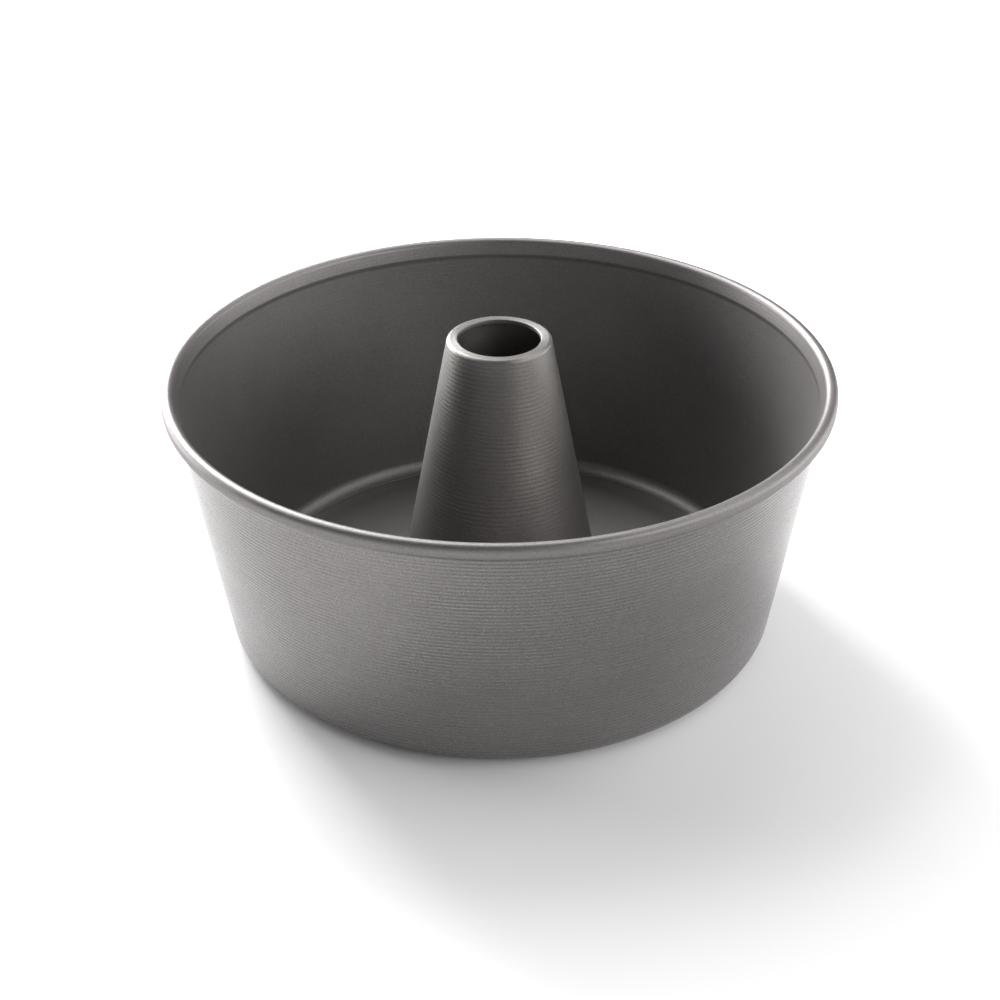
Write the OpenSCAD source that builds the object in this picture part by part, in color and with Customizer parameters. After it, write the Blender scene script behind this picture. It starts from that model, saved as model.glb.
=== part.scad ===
// Angel food cake pan: a spun aluminium pan with a rolled rim, and a loose
// base plate with a tall conical tube that lifts out with the cake.
// Z is up, and the origin is at the middle of the pan where it stands.

/* [Pan] */
// Outside diameter over the rolled rim
rim_d = 266.7; // [256:0.1:300]
// Height of the rolled rim's top above the table
pan_h = 111.4; // [80:0.1:140]
// Outside diameter at the foot of the wall, before the corner is rounded
base_d = 226.4; // [200:0.1:240]
// Outside radius of the corner between wall and bottom
corner_r = 7.4; // [4:0.1:10]
// Sheet thickness of the pan
wall_t = 1.6; // [1:0.05:2]
// Width of the turned-in ledge that carries the base plate
ledge_w = 7.5; // [5:0.1:14]

/* [Rolled rim] */
// Width of the rolled rim
bead_w = 5.1; // [4.6:0.05:7]
// Height of the rolled rim
bead_h = 6.3; // [5.6:0.05:9]
// Drop from the rim's top to the crease inside the wall
crease_drop = 7.3; // [6.6:0.1:12]
// Distance from the rim's outer edge in to the crease
crease_in = 6.35; // [5.8:0.05:9]
// Depth of the fine groove at the crease
crease_cut = 0.35; // [0.1:0.05:0.6]
// Gap between the rolled lip and the wall
lip_gap = 0.3; // [0.1:0.05:0.6]

/* [Base plate] */
// Sheet thickness of the base plate
plate_t = 1.6; // [1:0.05:2.4]
// Clearance all round between the plate and its seat
plate_gap = 0.3; // [0.2:0.05:1]
// Width of the slope up to the plate's raised middle
step_w = 2.5; // [1.5:0.1:5]
// Clearance between the ledge's edge and the slope
step_gap = 0.5; // [0.3:0.1:2]
// Bevel on the plate's top edge and on its seat
bevel = 0.1; // [0.05:0.05:0.6]

/* [Tube] */
// Height of the tube's top above the table
tube_h = 124.1; // [100:0.1:150]
// Outside diameter of the cone at its top
tube_top_d = 41.5; // [38:0.1:54]
// Outside diameter of the cone at the cooking surface
tube_foot_d = 87.7; // [70:0.1:110]
// Sheet thickness of the tube
tube_t = 1.6; // [1:0.05:2]
// Diameter of the hole in the tube's top
mouth_d = 33.1; // [24:0.1:35]
// Inside radius of the bend between the cone and its flat top
top_bend_r = 0.2; // [0.1:0.05:1.5]
// Rounding of the hole's upper edge
mouth_edge_r = 0.4; // [0.1:0.05:0.6]
// Width of the foot flange rolled out under the plate
flange_w = 7; // [4:0.1:12]
// Height of the foot flange above the table
foot_clear = 0.6; // [0.3:0.1:1.5]
// Radius of the bead that is pressed out above the plate
swage_r = 1.5; // [0.8:0.05:2.5]
// Distance that the tube is drawn in where it passes the plate
neck_in = 0.6; // [0.3:0.05:1.5]
// Clearance between the tube and the plate's hole
hole_gap = 0.1; // [0.05:0.05:0.4]

/* [Hidden] */
$fn = 240;
// Steps in each rounded stretch of an outline, for a quarter turn
turn_steps = 8;
anodised = "#6c6a6a";
anodised_plate = "#5d5b5b";
anodised_tube = "#757373";

// Points along an arc about [x, z] from angle a to angle b
function arc(x, z, r, a, b) = let (n = ceil(turn_steps * abs(b - a) / 90))
    [for (i = [0 : n]) let (t = a + (b - a) * i / n) [x + r * cos(t), z + r * sin(t)]];
// The same points in the other order
function back(points) = [for (i = [len(points) - 1 : -1 : 0]) points[i]];

// Heights: the plate lies on the ledge, flush with the foot of the pan's corner
floor_z = wall_t + plate_t;
corner_z = plate_t + corner_r;
crease_z = pan_h - crease_drop;
panel_under_z = foot_clear + tube_t;
panel_z = panel_under_z + plate_t;

// The wall leans out by wall_lean from the corner to the crease
crease_x = rim_d / 2 - crease_in;
wall_run = crease_x - base_d / 2;
wall_rise = crease_z - plate_t;
wall_lean = atan2(wall_run, wall_rise) + asin(wall_t / norm([wall_run, wall_rise]));
seat_r = base_d / 2 - corner_r * tan((90 - wall_lean) / 2);

// The rolled rim is a flattened roll with a half turn above and most of one below
bead_r = bead_w / 2;
bead_x = rim_d / 2 - bead_r;
bead_top_z = pan_h - bead_r;
bead_low_z = pan_h - bead_h + bead_r;

// The neck runs from the crease, tangent to the roll's upper turn
neck_reach = norm([bead_x - crease_x, bead_top_z - crease_z]);
neck_dir = atan2(bead_top_z - crease_z, bead_x - crease_x) + asin(bead_r / neck_reach);
neck_from = neck_dir + 90;
crease_dir = (90 - wall_lean + neck_dir) / 2;
crease_reach = wall_t / cos((90 - wall_lean - neck_dir) / 2);

// The lip turns in under the roll until it is lip_gap away from the neck
lip_reach = bead_r + (bead_top_z - bead_low_z) * sin(neck_from) - wall_t - lip_gap;
lip_end = neck_from + acos(lip_reach / bead_r) - 360;

// Base plate
plate_r = seat_r - plate_gap;
ledge_r = seat_r - ledge_w;
step_out_r = ledge_r - step_gap;
step_in_r = step_out_r - step_w;

// Tube: the cone leans in by tube_lean, and is drawn in to a neck at the plate
tube_lean = atan2((tube_foot_d - tube_top_d) / 2, tube_h - floor_z);
neck_r = tube_foot_d / 2 - neck_in;
hole_r = neck_r + hole_gap;
swage_z = panel_z + swage_r;
swage_end = tube_lean + acos((cone_r(swage_z) - neck_r) * cos(tube_lean) / swage_r);
top_bend = top_bend_r + tube_t;
top_bend_x = tube_top_d / 2 + top_bend * tan(tube_lean) - top_bend / cos(tube_lean);
top_bend_z = tube_h - top_bend;
mouth_r = mouth_d / 2;
neck_top_z = tube_h - (neck_r - tube_t + tube_t / cos(tube_lean) - tube_top_d / 2) / tan(tube_lean);

// Outside radius of the cone at height z
function cone_r(z) = tube_top_d / 2 + (tube_h - z) * tan(tube_lean);

// Underside and outside of the pan's sheet, from the ledge's edge to the lip's end in the roll
function pan_outside() = concat(
    [[ledge_r, 0]],
    arc(seat_r, wall_t, wall_t, -90, 0),
    arc(seat_r, corner_z, corner_r, asin(wall_t / corner_r) - 90, -wall_lean),
    [[crease_x + crease_reach * sin(crease_dir), crease_z - crease_reach * cos(crease_dir)]],
    arc(bead_x, bead_top_z, bead_r - wall_t, neck_from, 0),
    arc(bead_x, bead_low_z, bead_r - wall_t, 0, lip_end)
);

// Upper side and inside of the pan's sheet, from the ledge's edge to the lip's end outside the roll
function pan_inside() = concat(
    [[ledge_r, wall_t], [seat_r, wall_t], [seat_r, floor_z - bevel]],
    arc(seat_r, corner_z, corner_r - wall_t, asin(bevel / (corner_r - wall_t)) - 90, -wall_lean),
    [
        [crease_x - crease_cut * sin(wall_lean), crease_z - crease_cut * cos(wall_lean)],
        [crease_x + crease_cut * sin(crease_dir), crease_z - crease_cut * cos(crease_dir)],
        [crease_x + crease_cut * cos(neck_dir), crease_z + crease_cut * sin(neck_dir)]
    ],
    arc(bead_x, bead_top_z, bead_r, neck_from, 0),
    arc(bead_x, bead_low_z, bead_r, 0, lip_end)
);

// One spun sheet: ledge, step, rounded corner, tapered wall, crease, neck and rolled rim
module pan_shell() {
    color(anodised) rotate_extrude() polygon(concat(pan_outside(), back(pan_inside())));
}

// Loose disc: a flat rim on the ledge, and a raised middle with a hole for the tube
module base_plate() {
    color(anodised_plate) rotate_extrude() polygon([
        [hole_r, panel_under_z],
        [step_in_r, panel_under_z],
        [step_out_r, wall_t],
        [plate_r, wall_t],
        [plate_r, floor_z - bevel],
        [plate_r - bevel, floor_z],
        [step_out_r, floor_z],
        [step_in_r, panel_z],
        [hole_r, panel_z]
    ]);
}

// Outside of the tube's sheet, from the foot flange up to the mouth's rounded edge
function tube_outside() = concat(
    [[neck_r + flange_w, panel_under_z], [neck_r, panel_under_z]],
    arc(neck_r, swage_z, swage_r, -90, swage_end),
    arc(top_bend_x, top_bend_z, top_bend, tube_lean, 90),
    arc(mouth_r + mouth_edge_r, tube_h - mouth_edge_r, mouth_edge_r, 90, 180)
);

// Inside of the tube's sheet, from the foot flange up to the mouth
function tube_inside() = concat(
    [[neck_r + flange_w, panel_under_z - tube_t]],
    arc(neck_r, panel_under_z, tube_t, 270, 180),
    [[neck_r - tube_t, neck_top_z]],
    arc(top_bend_x, top_bend_z, top_bend_r, tube_lean, 90),
    [[mouth_r, tube_h - tube_t]]
);

// One spun sheet: flange under the plate, neck, bead above the plate, cone, flat top and mouth
module centre_tube() {
    color(anodised_tube) rotate_extrude() polygon(concat(tube_outside(), back(tube_inside())));
}

pan_shell();
base_plate();
centre_tube();
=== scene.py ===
"""Angel food cake pan in hard-anodised spun aluminium, on a plain white studio floor."""
from math import acos, asin, atan2, ceil, cos, hypot, pi, radians, sin, tan

import bpy
from mathutils import Matrix, Vector


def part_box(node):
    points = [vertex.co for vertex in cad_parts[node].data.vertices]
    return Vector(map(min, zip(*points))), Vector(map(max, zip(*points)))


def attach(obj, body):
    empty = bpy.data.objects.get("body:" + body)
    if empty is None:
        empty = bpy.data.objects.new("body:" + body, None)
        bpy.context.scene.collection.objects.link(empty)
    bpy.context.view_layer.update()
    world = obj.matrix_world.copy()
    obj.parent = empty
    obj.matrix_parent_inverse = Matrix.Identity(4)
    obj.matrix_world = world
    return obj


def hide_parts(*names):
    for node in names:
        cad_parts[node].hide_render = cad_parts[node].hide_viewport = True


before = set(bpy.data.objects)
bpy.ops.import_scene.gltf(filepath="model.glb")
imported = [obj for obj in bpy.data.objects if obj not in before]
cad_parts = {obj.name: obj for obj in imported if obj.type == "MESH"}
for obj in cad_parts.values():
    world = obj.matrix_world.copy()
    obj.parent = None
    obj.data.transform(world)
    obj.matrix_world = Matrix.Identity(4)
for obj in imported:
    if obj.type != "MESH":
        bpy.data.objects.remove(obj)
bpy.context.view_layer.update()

MM = 0.001

# Outer sizes, in metres, from the boxes of the CAD nodes in model.glb
pan_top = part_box("pan_shell")[1]
rim_r = pan_top.x
pan_h = pan_top.z
tube_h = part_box("centre_tube")[1].z

# Thickness of each sheet
wall_t = 1.6 * MM
plate_t = 1.6 * MM
tube_t = 1.6 * MM

# Lathe meshes: steps round the axis, and the angle of one step along a rounded stretch
SPINS = 512
ARC_STEP = radians(6)

# Name of the mesh attribute that tells how finely a surface was turned, and its values
POLISH = "polish"
POLISH_OUTSIDE = 1.0
POLISH_RIM = 0.2
POLISH_INSIDE = 0.0


def arc(x, z, r, a, b):
    """Points along an arc about (x, z) from angle a to angle b, in radians."""
    n = max(1, ceil(abs(b - a) / ARC_STEP))
    return [(x + r * cos(a + (b - a) * i / n), z + r * sin(a + (b - a) * i / n)) for i in range(n + 1)]


def straight(p, q, step=6 * MM):
    """Points between p and q, without the ends, no more than step apart."""
    n = ceil(hypot(q[0] - p[0], q[1] - p[1]) / step)
    return [(p[0] + (q[0] - p[0]) * i / n, p[1] + (q[1] - p[1]) * i / n) for i in range(1, n)]


def joined(*runs):
    """One list of points, with each straight stretch between two runs cut into short steps."""
    points = list(runs[0])
    for run in runs[1:]:
        points += straight(points[-1], run[0]) + list(run)
    return points


def lathe(name, runs, sharp=radians(32)):
    """Mesh made by turning a closed outline about Z; each of its runs is a list of points and their polish."""
    outline = [point for points, polish in runs for point in points]
    shine = [polish for points, polish in runs for point in points]
    n = len(outline)
    verts = []
    faces = []
    for i in range(SPINS):
        turn = 2 * pi * i / SPINS
        verts += [(r * cos(turn), r * sin(turn), z) for r, z in outline]
        here, there = i * n, (i + 1) % SPINS * n
        for j in range(n):
            k = (j + 1) % n
            faces.append((here + k, here + j, there + j, there + k))
    mesh = bpy.data.meshes.new(name)
    mesh.from_pydata(verts, [], faces)
    mesh.attributes.new(POLISH, "FLOAT", "FACE").data.foreach_set("value", shine * SPINS)
    mesh.shade_smooth()
    mesh.set_sharp_from_angle(angle=sharp)
    piece = bpy.data.objects.new(name, mesh)
    bpy.context.scene.collection.objects.link(piece)
    return piece


# Pan: the same outline of sheet as the CAD node, with finer rounds
bead_w = 5.1 * MM
bead_h = 6.3 * MM
crease_in = 6.35 * MM
crease_drop = 7.3 * MM
crease_step = 0.4 * MM
crease_half = 1.2 * MM
base_r = 113.2 * MM
corner_r = 7.4 * MM
bevel = 0.1 * MM
ledge_w = 7.5 * MM
lip_gap = 0.3 * MM

floor_z = wall_t + plate_t
corner_z = plate_t + corner_r
crease_x = rim_r - crease_in
crease_z = pan_h - crease_drop
wall_run = crease_x - base_r
wall_rise = crease_z - plate_t
wall_lean = atan2(wall_run, wall_rise) + asin(wall_t / hypot(wall_run, wall_rise))
seat_r = base_r - corner_r * tan((pi / 2 - wall_lean) / 2)
ledge_r = seat_r - ledge_w

# Rolled rim, with a neck from the crease to the roll and a lip that turns in under it
bead_r = bead_w / 2
bead_x = rim_r - bead_r
bead_top_z = pan_h - bead_r
bead_low_z = pan_h - bead_h + bead_r
neck_reach = hypot(bead_x - crease_x, bead_top_z - crease_z)
neck_dir = atan2(bead_top_z - crease_z, bead_x - crease_x) + asin(bead_r / neck_reach)
neck_from = neck_dir + pi / 2
crease_dir = (pi / 2 - wall_lean + neck_dir) / 2
crease_reach = wall_t / cos((pi / 2 - wall_lean - neck_dir) / 2)
lip_reach = bead_r + (bead_top_z - bead_low_z) * sin(neck_from) - wall_t - lip_gap
lip_end = neck_from + acos(lip_reach / bead_r) - 2 * pi


def crease_run(steps=6):
    """Soft step at the crease, where the neck starts a little inside of the wall's line."""
    down_wall = (-sin(wall_lean), -cos(wall_lean))
    up_neck = (cos(neck_dir), sin(neck_dir))
    points = []
    for i in range(-steps, steps + 1):
        reach = abs(i) / steps * crease_half
        inward = crease_step * (1 + sin(pi / 2 * i / steps)) / 2
        dx, dz = up_neck if i > 0 else down_wall
        x = crease_x + reach * dx - inward * sin(crease_dir)
        z = crease_z + reach * dz + inward * cos(crease_dir)
        points.append((x, z))
    return points


def pan_outline():
    """Outside of the sheet from the ledge to the lip, then the roll, then the inside back to the ledge."""
    outside = joined(
        [(ledge_r, 0)],
        arc(seat_r, wall_t, wall_t, -pi / 2, 0),
        arc(seat_r, corner_z, corner_r, asin(wall_t / corner_r) - pi / 2, -wall_lean),
        [(crease_x + crease_reach * sin(crease_dir), crease_z - crease_reach * cos(crease_dir))],
        arc(bead_x, bead_top_z, bead_r - wall_t, neck_from, 0),
        arc(bead_x, bead_low_z, bead_r - wall_t, 0, lip_end),
    )
    rim = joined(
        arc(bead_x, bead_top_z, bead_r, neck_from, 0),
        arc(bead_x, bead_low_z, bead_r, 0, lip_end),
    )
    inner_r = corner_r - wall_t
    inside = joined(
        [(ledge_r, wall_t), (seat_r, wall_t), (seat_r, floor_z - bevel)],
        arc(seat_r, corner_z, inner_r, asin(bevel / inner_r) - pi / 2, -wall_lean),
        crease_run(),
    )
    return [(outside, POLISH_OUTSIDE), (rim[::-1], POLISH_RIM), (inside[::-1], POLISH_INSIDE)]


# Base plate: a flat edge on the ledge, and a slope up to its raised middle
plate_gap = 0.3 * MM
step_gap = 0.5 * MM
step_w = 2.5 * MM
foot_clear = 0.6 * MM

panel_under_z = foot_clear + tube_t
panel_z = panel_under_z + plate_t
plate_r = seat_r - plate_gap
step_out_r = ledge_r - step_gap
step_in_r = step_out_r - step_w

# Tube: a leaning cone, drawn in to a neck where it passes the plate
tube_top_r = 20.75 * MM
tube_foot_r = 43.85 * MM
mouth_r = 16.55 * MM
mouth_edge = 0.4 * MM
flange_w = 7 * MM
swage_r = 1.5 * MM
neck_in = 0.6 * MM
hole_gap = 0.1 * MM
top_bend_r = 0.2 * MM

tube_lean = atan2(tube_foot_r - tube_top_r, tube_h - floor_z)
neck_r = tube_foot_r - neck_in
hole_r = neck_r + hole_gap
swage_z = panel_z + swage_r
top_bend = top_bend_r + tube_t
top_bend_x = tube_top_r + top_bend * tan(tube_lean) - top_bend / cos(tube_lean)
top_bend_z = tube_h - top_bend


def cone_r(z):
    """Outside radius of the cone at height z."""
    return tube_top_r + (tube_h - z) * tan(tube_lean)


def plate_outline():
    """Underside of the plate from its hole to its edge, then the upper side back to the hole."""
    under = joined(
        [(hole_r, panel_under_z)],
        [(step_in_r, panel_under_z)],
        [(step_out_r, wall_t)],
        [(plate_r, wall_t)],
    )
    top = joined(
        [(hole_r, panel_z)],
        [(step_in_r, panel_z)],
        [(step_out_r, floor_z)],
        [(plate_r - bevel, floor_z), (plate_r, floor_z - bevel)],
    )
    return [(under, POLISH_OUTSIDE), (top[::-1], POLISH_INSIDE)]


def tube_outline():
    """Outside of the tube from the foot flange up to the mouth, then the inside back down."""
    swage_end = tube_lean + acos((cone_r(swage_z) - neck_r) * cos(tube_lean) / swage_r)
    neck_top_z = tube_h - (neck_r - tube_t + tube_t / cos(tube_lean) - tube_top_r) / tan(tube_lean)
    outside = joined(
        [(neck_r + flange_w, panel_under_z), (neck_r, panel_under_z)],
        arc(neck_r, swage_z, swage_r, -pi / 2, swage_end),
        arc(top_bend_x, top_bend_z, top_bend, tube_lean, pi / 2),
        arc(mouth_r + mouth_edge, tube_h - mouth_edge, mouth_edge, pi / 2, pi),
    )
    inside = joined(
        [(neck_r + flange_w, panel_under_z - tube_t)],
        arc(neck_r, panel_under_z, tube_t, 1.5 * pi, pi),
        [(neck_r - tube_t, neck_top_z)],
        arc(top_bend_x, top_bend_z, top_bend_r, tube_lean, pi / 2),
        [(mouth_r, tube_h - tube_t)],
    )
    return [(outside, POLISH_OUTSIDE), (inside[::-1], POLISH_INSIDE)]


class Shader:
    """A material's node tree, with short calls that add a node and give its output."""

    def __init__(self, name):
        self.material = bpy.data.materials.new(name)
        self.material.use_nodes = True
        self.tree = self.material.node_tree
        self.surface = self.tree.nodes["Principled BSDF"]
        self.place = self.add("ShaderNodeTexCoord", out="Object")

    def add(self, kind, inputs=(), out=0, **settings):
        """A node of this kind, with its sockets linked or set; gives its output."""
        node = self.tree.nodes.new(kind)
        for key, value in settings.items():
            setattr(node, key, value)
        for key, value in dict(inputs).items():
            if isinstance(value, bpy.types.NodeSocket):
                self.tree.links.new(value, node.inputs[key])
            else:
                node.inputs[key].default_value = value
        return node.outputs[out]

    def math(self, operation, a, b=0.0, c=0.0):
        return self.add("ShaderNodeMath", {0: a, 1: b, 2: c}, operation=operation)

    def span(self, value, low, high, to_low, to_high):
        """The value's range from low to high stretched to a new range, and clamped to it."""
        inputs = {"Value": value, "From Min": low, "From Max": high, "To Min": to_low, "To Max": to_high}
        return self.add("ShaderNodeMapRange", inputs)

    def distance(self, vector):
        return self.add("ShaderNodeVectorMath", {0: vector}, out="Value", operation="LENGTH")

    def noise(self, size, detail=2.0):
        """Even noise about zero, with grains of the given size in metres."""
        inputs = {"Vector": self.place, "Scale": 1 / size, "Detail": detail}
        return self.math("SUBTRACT", self.add("ShaderNodeTexNoise", inputs, out="Fac"), 0.5)

    def link(self, output, socket):
        self.tree.links.new(output, self.surface.inputs[socket])

    def set(self, values):
        """Plain values, straight on the surface's own sockets."""
        for socket, value in values.items():
            self.surface.inputs[socket].default_value = value


def turned(shader, radius, pitch, streak, detail=2.0):
    """Noise drawn out round the Z axis: pitch is its size across, in metres, and streak its waves in a turn."""
    x, y, z = (shader.add("ShaderNodeSeparateXYZ", {0: shader.place}, out=i) for i in range(3))
    vector = shader.add("ShaderNodeCombineXYZ", {
        0: shader.math("DIVIDE", radius, pitch),
        1: shader.math("DIVIDE", z, pitch),
        2: shader.math("DIVIDE", shader.math("MULTIPLY", x, streak), radius),
    })
    turn = shader.math("DIVIDE", shader.math("MULTIPLY", y, streak), radius)
    inputs = {"Vector": vector, "W": turn, "Scale": 1.0, "Detail": detail}
    return shader.add("ShaderNodeTexNoise", inputs, out="Fac", noise_dimensions="4D")


# Sizes of the finish's patterns across, in metres, and the waves in a turn of those that run round
WANDER_SIZE, WANDER_STREAK = 5 * MM, 0.9
PRESENCE_SIZE, PRESENCE_STREAK = 15 * MM, 1.4
SCRATCH_SIZE, SCRATCH_STREAK = 0.45 * MM, 5.0
GRAIN_SIZE = 0.55 * MM
CLOUD_SIZE = 35 * MM

# Where the noise lets the grooves start to show, and where they are full
PRESENCE_FROM = 0.38
PRESENCE_FULL = 0.60

# Share of the grooves' strength that is left on rim and inside, up to this polish
GROOVES_LEFT = 0.1
GROOVES_POLISH = 0.5

# Share of each pattern in the tone and in the roughness, and depth of its relief in metres
GRAIN_TONE = 0.8
SCRATCH_TONE = 0.15
CLOUD_TONE = 0.2
PATTERN_ROUGHNESS = 0.15
GRAIN_DEPTH = 0.012 * MM
SCRATCH_DEPTH = 0.008 * MM


def anodised(name, look):
    """Hard-anodised aluminium with turning lines, in relief and with painted shade on them: a matt grey oxide
    skin over a spun sheet.
    """
    s = Shader(name)
    flat = s.add("ShaderNodeVectorMath", {0: s.place, 1: (1, 1, 0)}, operation="MULTIPLY")
    radius = s.distance(flat)
    polish = s.add("ShaderNodeAttribute", out="Fac", attribute_name=POLISH)

    # Tool marks: even grooves that wander a little and fade in and out, with fine scratches between them. The
    # grooves are real relief, and their share in the colour is painted shade, lighter on the ridges and darker
    # in the valleys
    height = s.add("ShaderNodeSeparateXYZ", {0: s.place}, out="Z")
    along = s.math("MULTIPLY_ADD", radius, look["lean"], s.math("MULTIPLY", height, look["rise"]))
    wander = s.math("MULTIPLY", turned(s, radius, WANDER_SIZE, WANDER_STREAK), look["wander"])
    groove_relief_and_shade = s.math("SINE", s.math("MULTIPLY_ADD", along, 2 * pi / look["pitch"], wander))
    presence = turned(s, radius, PRESENCE_SIZE, PRESENCE_STREAK)
    presence = s.span(presence, PRESENCE_FROM, PRESENCE_FULL, look["faint"], 1.0)
    strength = s.span(polish, GROOVES_POLISH, POLISH_OUTSIDE, GROOVES_LEFT, 1.0)
    groove_relief_and_shade = s.math("MULTIPLY", s.math("MULTIPLY", groove_relief_and_shade, presence), strength)
    scratches = s.math("SUBTRACT", turned(s, radius, SCRATCH_SIZE, SCRATCH_STREAK), 0.5)
    grain = s.noise(GRAIN_SIZE)
    clouds = s.noise(CLOUD_SIZE)

    tone = 1.0
    # The grooves' share in the tone is painted shade: the colour is lighter on their ridges and darker in their
    # valleys
    shares = {grain: GRAIN_TONE, scratches: SCRATCH_TONE, clouds: CLOUD_TONE, groove_relief_and_shade: look["groove_painted_shade"]}
    for pattern, share in shares.items():
        tone = s.math("MULTIPLY_ADD", pattern, share, tone)
    s.link(s.add("ShaderNodeVectorMath", {0: look["tint"], "Scale": tone}, operation="SCALE"), "Base Color")

    rough = s.span(polish, POLISH_INSIDE, POLISH_OUTSIDE, look["rough_inside"], look["rough_outside"])
    uneven = s.math("ADD", grain, scratches)
    s.link(s.math("MULTIPLY_ADD", uneven, PATTERN_ROUGHNESS, rough), "Roughness")

    relief = s.math("MULTIPLY", groove_relief_and_shade, look["groove_depth"])
    for pattern, depth in ((scratches, SCRATCH_DEPTH), (grain, GRAIN_DEPTH)):
        relief = s.math("MULTIPLY_ADD", pattern, depth, relief)
    bump = s.add("ShaderNodeBump", {"Height": relief, "Strength": 1.0, "Distance": 1.0}, out="Normal")
    s.link(bump, "Normal")

    s.link(s.add("ShaderNodeTangent", direction_type="RADIAL", axis="Z"), "Tangent")
    s.set(look["sockets"])
    return s.material


# Finish of each piece. The grooves' phase runs with lean times the radius plus rise times the height,
# wander bends them and faint is how much of them is left where they fade. Pitch and depth are in metres.
# The grooves' share in the colour is painted shade, lighter on the ridges and darker in the valleys.
LOOKS = {
    "anodised_pan": {
        "tint": (0.189, 0.178, 0.177),
        "lean": 1.0, "rise": 1.0, "pitch": 1.9 * MM, "wander": 1.5, "faint": 0.6,
        "groove_painted_shade": 0.085, "groove_depth": 0.05 * MM,
        "rough_outside": 0.26, "rough_inside": 0.54,
        "sockets": {"Metallic": 0.8},
    },
    "anodised_plate": {
        "tint": (0.180, 0.175, 0.164),
        "lean": 1.0, "rise": 0.0, "pitch": 1.3 * MM, "wander": 8.0, "faint": 0.2,
        "groove_painted_shade": 0.02, "groove_depth": 0.01 * MM,
        "rough_outside": 0.55, "rough_inside": 0.55,
        "sockets": {"Metallic": 0.8},
    },
    "anodised_tube": {
        "tint": (0.183, 0.174, 0.165),
        "lean": -1.0, "rise": 1.0, "pitch": 2.1 * MM, "wander": 7.0, "faint": 0.2,
        "groove_painted_shade": 0.022, "groove_depth": 0.022 * MM,
        "rough_outside": 0.50, "rough_inside": 0.58,
        "sockets": {
            "Metallic": 0.8, "Anisotropic": 0.6, "Anisotropic Rotation": 0.25,
            "Coat Weight": 0.5, "Coat Roughness": 0.3,
        },
    },
}

# The three sheet metal pieces, each in the place of its CAD node
PIECES = (
    ("pan_wall_and_rim", pan_outline, "pan", "pan_shell", "anodised_pan"),
    ("loose_base", plate_outline, "insert", "base_plate", "anodised_plate"),
    ("tube_cone", tube_outline, "insert", "centre_tube", "anodised_tube"),
)
for name, outline, body, node, slot in PIECES:
    piece = lathe(name, outline())
    piece.data.materials.append(anodised(slot, LOOKS[slot]))
    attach(piece, body)
    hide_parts(node)


# Camera at the photograph's viewing angle
CAMERA_DISTANCE = 0.7321
CAMERA_ELEVATION = radians(31.23)
CAMERA_ROLL = radians(-0.27)
AIM = Vector((0, 0, 0.0493))
FOCAL_TO_WIDTH = 1.76
SENSOR_WIDTH = 36

view = Vector((0, cos(CAMERA_ELEVATION), -sin(CAMERA_ELEVATION)))
level = Vector((1, 0, 0))
up = level.cross(view)
right = level * cos(CAMERA_ROLL) + up * sin(CAMERA_ROLL)
above = up * cos(CAMERA_ROLL) - level * sin(CAMERA_ROLL)
camera_data = bpy.data.cameras.new("camera")
camera_data.sensor_width = SENSOR_WIDTH
camera_data.lens = SENSOR_WIDTH * FOCAL_TO_WIDTH
camera_data.clip_start = 0.01
camera = bpy.data.objects.new("camera", camera_data)
turn = Matrix((right, above, -view)).transposed().to_4x4()
camera.matrix_world = Matrix.Translation(AIM - view * CAMERA_DISTANCE) @ turn
bpy.context.scene.collection.objects.link(camera)
bpy.context.scene.camera = camera


# Plain pale floor, which glows white where the studio lights no longer reach it
FLOOR_HALF = 4.0
GLOW_FROM = 0.9
GLOW_FULL = 1.6

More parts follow.
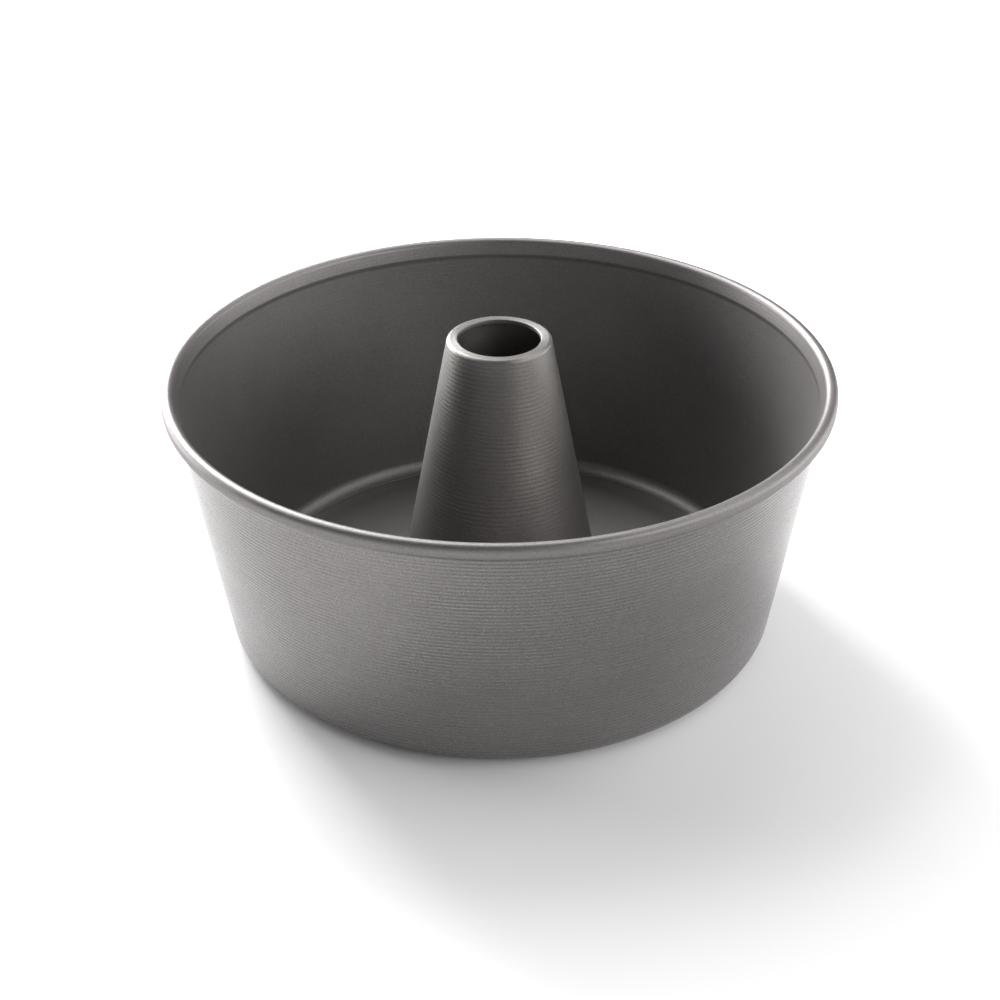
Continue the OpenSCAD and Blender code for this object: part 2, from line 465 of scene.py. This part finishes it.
corners = [(-FLOOR_HALF, -FLOOR_HALF, 0), (FLOOR_HALF, -FLOOR_HALF, 0),
           (FLOOR_HALF, FLOOR_HALF, 0), (-FLOOR_HALF, FLOOR_HALF, 0)]
floor_mesh = bpy.data.meshes.new("floor")
floor_mesh.from_pydata(corners, [], [(0, 1, 2, 3)])
floor = bpy.data.objects.new("floor", floor_mesh)
bpy.context.scene.collection.objects.link(floor)
pale = Shader("floor_white")
pale.set({
    "Base Color": (0.9, 0.9, 0.9, 1), "Roughness": 0.9, "Specular IOR Level": 0.2,
    "Emission Color": (1, 1, 1, 1),
})
pale.link(pale.span(pale.distance(pale.place), GLOW_FROM, GLOW_FULL, 0.0, 1.0), "Emission Strength")
floor.data.materials.append(pale.material)


# Studio lights: softboxes in a ring round the pan, faced to its middle
LIGHT_DISTANCE = 1.6


def softbox(name, azimuth, elevation, width, height, radiance):
    """Soft area light, width by height degrees across as the pan sees it, and evenly as bright as radiance."""
    azimuth, elevation, width, height = (radians(a) for a in (azimuth, elevation, width, height))
    data = bpy.data.lights.new(name, "AREA")
    data.shape = "RECTANGLE"
    data.size = 2 * LIGHT_DISTANCE * tan(width / 2)
    data.size_y = 2 * LIGHT_DISTANCE * tan(height / 2)
    data.energy = radiance * pi * data.size * data.size_y
    light = bpy.data.objects.new(name, data)
    towards = Vector((cos(azimuth) * cos(elevation), sin(azimuth) * cos(elevation), sin(elevation)))
    light.location = towards * LIGHT_DISTANCE
    light.rotation_euler = (-towards).to_track_quat("-Z", "Y").to_euler()
    bpy.context.scene.collection.objects.link(light)


softbox("key_back_left", 120, 31, 27, 24, 25)
softbox("low_left", 145, 10, 49, 20, 8)
softbox("low_right", 12, 12, 54, 22, 4.3)
softbox("high_left", 135, 54, 52, 24, 4)
softbox("high_back", 90, 62, 40, 24, 3.4)
softbox("high_right", 10, 50, 52, 26, 2.6)
softbox("fill_front_right", 322, 31, 39, 22, 4.4)
softbox("fill_front_left", 235, 20, 40, 30, 0.6)
softbox("fill_front", 270, 12, 40, 20, 0.8)

# White backdrop behind the floor, which lights nothing
world = bpy.data.worlds.new("studio")
bpy.context.scene.world = world
world.use_nodes = True
backdrop = world.node_tree.nodes["Background"]
backdrop.inputs["Color"].default_value = (1, 1, 1, 1)
light_path = world.node_tree.nodes.new("ShaderNodeLightPath")
world.node_tree.links.new(light_path.outputs["Is Camera Ray"], backdrop.inputs["Strength"])

bpy.context.scene.view_settings.view_transform = "Standard"
